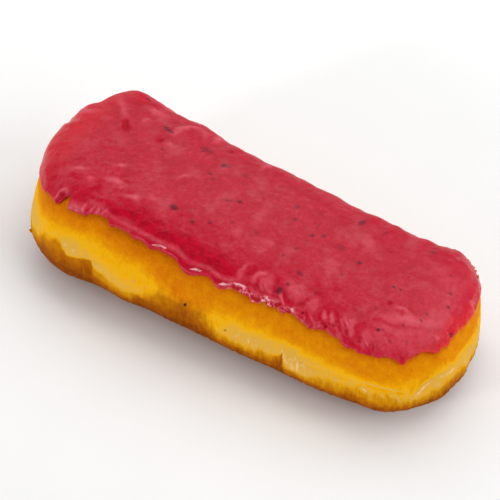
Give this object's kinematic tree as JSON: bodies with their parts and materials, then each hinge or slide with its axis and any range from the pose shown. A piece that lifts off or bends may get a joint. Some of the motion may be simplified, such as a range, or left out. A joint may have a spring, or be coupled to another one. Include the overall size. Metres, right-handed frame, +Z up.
{
  "type": "long john doughnut",
  "caption": "Long bar-shaped fried yeast doughnut with rounded ends and a flattened underside, its top and shoulders under a thin sheet of berry icing with a drippy edge.",
  "frame": {"origin": "on the table plane, under the middle of the doughnut's box", "axes": "+X along the bar towards its narrower end, +Y across it towards the back, +Z up"},
  "size_m": [0.1674, 0.0706, 0.0404],
  "materials": {
    "dough": "soft fried crust, golden with a pale proof band and a brown base",
    "icing": "satin berry icing with small seeds"
  },
  "bodies": {
    "root": {"dough": "dough", "icing": "icing"}
  },
  "joints": []
}
